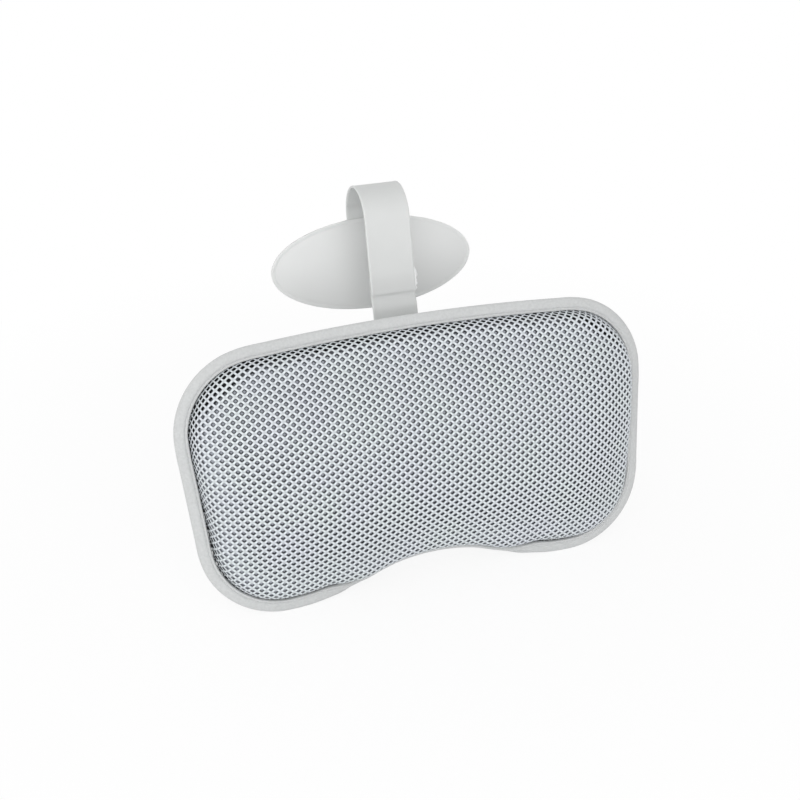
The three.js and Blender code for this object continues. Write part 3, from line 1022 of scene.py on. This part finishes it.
def clouded(tree, colour):
    """Faint lilac and green clouds over a colour."""
    tint = between(tree, grain(tree, 34), (0.955, 0.935, 1.0), (0.955, 1.0, 0.955))
    return blended(tree, 1.0, colour, tint, "MULTIPLY")


def yarn_colour(tree):
    """White along the strands and greyer on the knots, with painted shade down the holes' walls, under the strands
    and along the seam, and fine fibres.
    """
    fibre = compute(tree, "MULTIPLY", compute(tree, "SUBTRACT", grain(tree, 900), 0.5), 0.16)
    shade = compute(tree, "ADD", stored(tree, "tone_and_shade"), fibre)
    return clouded(tree, between(tree, shade, (0.04, 0.043, 0.05), (0.83, 0.868, 0.895)))


def backing_colour(tree):
    """A grey spot behind each hole inside a ring of painted shade under the strands, and painted shade, black,
    where the filling has shrunk.
    """
    # The ring of painted shade under the strands gives way to the grey spot
    ring = {"Value": stored(tree, "tone_and_shade"), "From Min": 0.36, "From Max": 0.95}
    spot = put(tree, "ShaderNodeMapRange", ring, interpolation_type="SMOOTHSTEP").outputs[0]
    fallen = stored(tree, "fallen")
    lit = compute(tree, "MULTIPLY", spot, compute(tree, "SUBTRACT", 1.0, fallen))
    uneven = compute(tree, "ADD", 0.62, compute(tree, "MULTIPLY", grain(tree, 26), 0.7))
    cloudy = compute(tree, "MULTIPLY", lit, uneven)
    shade = clouded(tree, between(tree, cloudy, (0.035, 0.037, 0.042), (0.46, 0.48, 0.53)))
    return blended(tree, fallen, shade, HOLLOW_SHADE)


def stuffing_colour(tree):
    # Flecked grey, with painted shade, nearly black, where the filling has fallen away
    full = compute(tree, "SUBTRACT", 1.0, stored(tree, "fallen"))
    flecks = compute(tree, "MULTIPLY", full, grain(tree, 220))
    return between(tree, flecks, (0.02, 0.021, 0.024), (0.5, 0.52, 0.58))


def mottled(low, high, scale):
    """A colour that wanders between two."""
    return lambda tree: between(tree, grain(tree, scale), low, high)


def grainy(scale, detail=2):
    return lambda tree: grain(tree, scale, detail)


def woven(pitch):
    return lambda tree: weave(tree, pitch)


def soft_plastic(name, low, high, through):
    """Satin sheet that lets a share of the light through."""
    made = finish(name, mottled(low, high, 24), (0.36, 0.5), grainy(2600, 3), (0.1, 0.1 * MM))
    inputs = made.node_tree.nodes["Principled BSDF"].inputs
    inputs["Subsurface Weight"].default_value = through
    inputs["Subsurface Scale"].default_value = 3 * MM
    inputs["Subsurface Radius"].default_value = (1, 1, 1)
    return made


yarn = finish("yarn", yarn_colour, (0.6, 0.8), grainy(2200), (0.3, 0.15 * MM), sheen=0.15)
backing_cloth = finish("backing_cloth", backing_colour, (0.8, 0.95), grainy(1400), (0.4, 0.2 * MM))
stuffing = finish("stuffing", stuffing_colour, (0.85, 0.95), grainy(500, 4), (0.5, 0.5 * MM))
tape = finish("tape", mottled((0.48, 0.49, 0.49), (0.62, 0.63, 0.63), 650), (0.6, 0.8),
              woven(0.9 * MM), (0.35, 0.12 * MM), sheen=0.2)
thread = finish("thread", mottled((0.55, 0.56, 0.56), (0.63, 0.64, 0.64), 900), (0.5, 0.65),
                grainy(2500), (0.4, 0.1 * MM), sheen=0.1)
cover_cloth = finish("cover_cloth", mottled((0.60, 0.61, 0.61), (0.68, 0.69, 0.69), 90), (0.7, 0.9),
                     woven(1.1 * MM), (0.5, 0.2 * MM), sheen=0.15)
sheet_plastic = soft_plastic("sheet_plastic", (0.605, 0.615, 0.61), (0.645, 0.655, 0.65), 0.5)
# Painted light: the paddle's skin is the strap's plastic made lighter, against the shade from the strap in front
# of it; it also lets less light through
skin_plastic_lightened = soft_plastic("skin_plastic_lightened", (0.71, 0.72, 0.715), (0.75, 0.76, 0.755), 0.2)
clear_plastic = finish("clear_plastic", mottled((0.80, 0.81, 0.81), (0.9, 0.9, 0.9), 400), (0.25, 0.4),
                       grainy(900), (0.3, 0.2 * MM))
coated_steel = finish("coated_steel", mottled((0.16, 0.165, 0.17), (0.21, 0.215, 0.22), 60), (0.35, 0.5),
                      grainy(1500), (0.15, 0.1 * MM))


# Pieces on their bodies

def wear(piece, worn):
    piece.data.materials.clear()
    piece.data.materials.append(worn)


def dress(piece, worn, slot, *nodes):
    """Gives a piece its material and hides the CAD nodes it stands for. The slot is not used."""
    wear(piece, worn)
    if nodes:
        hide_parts(*nodes)
    return piece


def dress_pillow():
    cloth = FrontCloth()
    net = dress(front_net(cloth), yarn, "spacer_mesh", "front_mesh")
    backing = dress(mesh_backing(cloth), backing_cloth, "spacer_mesh")
    shrink_filling()
    dress(filling, stuffing, "filling", "filling_core")
    cover = dress(back_cover(), cover_cloth, "back_cloth", "back_panel")
    binding = dress(edge_binding(), tape, "binding_tape", "edge_binding")
    seam = dress(binding_stitches(), thread, "binding_tape")
    box = dress(tab_stitches(), thread, "binding_tape")
    for piece in (net, backing, filling, cover, binding, seam, box):
        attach(piece, "pillow")


def dress_strap():
    tab = dress(tab_sheet(), sheet_plastic, "strap_sheet", "strap_tab")
    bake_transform(tab)
    strap = dress(strap_band(), sheet_plastic, "strap_sheet", "strap_front", "strap_rear")
    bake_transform(strap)
    fringe = dress(lap_fringe(), clear_plastic, "strap_sheet")
    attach(fringe, "front_leg")
    back = dress(paddle_back(), sheet_plastic, "strap_sheet", "paddle_back")
    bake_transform(back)
    skin = dress(paddle_front(), skin_plastic_lightened, "strap_sheet", "paddle_front")
    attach(skin, "paddle")
    plate = dress(weight_plate(), coated_steel, "weight_steel", "counterweight")
    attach(plate, "paddle")


dress_pillow()
dress_strap()


# Stage

def seen_directly(tree):
    """1 for rays from the camera and for mirrored or refracted ones, and 0 for light on the object."""
    path = put(tree, "ShaderNodeLightPath", {}).outputs
    mirrored = compute(tree, "MAXIMUM", path["Is Glossy Ray"], path["Is Transmission Ray"])
    return compute(tree, "MAXIMUM", path["Is Camera Ray"], mirrored)


def mixed(tree, factor, first, second):
    """A shader between two others."""
    return put(tree, "ShaderNodeMixShader", {"Fac": factor, 1: first, 2: second}).outputs[0]


def floor_finish():
    """White to the eye, with the object's soft shadow near it."""
    made = bpy.data.materials.new("floor")
    made.use_nodes = True
    tree = made.node_tree
    tree.nodes.clear()
    plain = put(tree, "ShaderNodeBsdfDiffuse", {"Color": FLOOR_COLOUR}).outputs[0]
    shaded = put(tree, "ShaderNodeBsdfDiffuse", {"Color": WHITE}).outputs[0]
    glow = put(tree, "ShaderNodeEmission", {"Color": WHITE, "Strength": 1}).outputs[0]
    out = put(tree, "ShaderNodeVectorMath", {0: object_place(tree)}, operation="LENGTH").outputs["Value"]
    fade = {"Value": out, "From Min": FLOOR_NEAR, "From Max": FLOOR_FAR, "To Min": FLOOR_GLOW, "To Max": 1}
    share = put(tree, "ShaderNodeMapRange", fade).outputs[0]
    shown = mixed(tree, share, shaded, glow)
    surface = mixed(tree, seen_directly(tree), plain, shown)
    put(tree, "ShaderNodeOutputMaterial", {"Surface": surface})
    return made


def make_floor():
    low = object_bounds()[0].z
    corners = [(x * FLOOR_SIZE, y * FLOOR_SIZE, low) for x, y in ((-1, -1), (1, -1), (1, 1), (-1, 1))]
    mesh = bpy.data.meshes.new("floor")
    mesh.from_pydata(corners, [], [(0, 1, 2, 3)])
    floor = bpy.data.objects.new("floor", mesh)
    bpy.context.scene.collection.objects.link(floor)
    wear(floor, floor_finish())


def make_light(name, place, size, watts):
    lamp = bpy.data.lights.new(name, "AREA")
    lamp.energy = watts
    lamp.size = size
    lamp_object = bpy.data.objects.new(name, lamp)
    lamp_object.location = place
    lamp_object.rotation_euler = (-Vector(place)).to_track_quat("-Z", "Y").to_euler()
    bpy.context.scene.collection.objects.link(lamp_object)


def make_world():
    """White to the eye. Its light on the object is stronger from the left."""
    world = bpy.data.worlds.new("studio")
    bpy.context.scene.world = world
    world.use_nodes = True
    tree = world.node_tree
    tree.nodes.clear()
    direction = put(tree, "ShaderNodeTexCoord", {}).outputs["Generated"]
    right = put(tree, "ShaderNodeSeparateXYZ", {"Vector": direction}).outputs["X"]
    level = compute(tree, "SUBTRACT", WORLD_LIGHT, compute(tree, "MULTIPLY", right, WORLD_SIDE))
    around = put(tree, "ShaderNodeBackground", {"Color": WHITE, "Strength": level}).outputs[0]
    shown = put(tree, "ShaderNodeBackground", {"Color": WHITE, "Strength": 1}).outputs[0]
    put(tree, "ShaderNodeOutputWorld", {"Surface": mixed(tree, seen_directly(tree), around, shown)})


def make_camera():
    camera = bpy.data.objects.new("camera", bpy.data.cameras.new("camera"))
    bpy.context.scene.collection.objects.link(camera)
    target = Vector(lean([[VIEW_TARGET_X, SEAM_Y, VIEW_TARGET_Z]])[0])
    azimuth, elevation = math.radians(VIEW_AZIMUTH), math.radians(VIEW_ELEVATION)
    level = math.cos(elevation)
    back = Vector((math.sin(azimuth) * level, -math.cos(azimuth) * level, math.sin(elevation)))
    camera.location = target + back * VIEW_DISTANCE
    camera.rotation_euler = (-back).to_track_quat("-Z", "Y").to_euler()
    camera.data.lens = VIEW_LENS
    bpy.context.scene.camera = camera


make_floor()
make_world()
make_light("key", place=(-0.55, -1.5, 1.2), size=2, watts=12)
make_light("fill", place=(0, -1.6, 0.22), size=1.5, watts=7.5)
make_camera()
bpy.context.scene.view_settings.view_transform = "Standard"
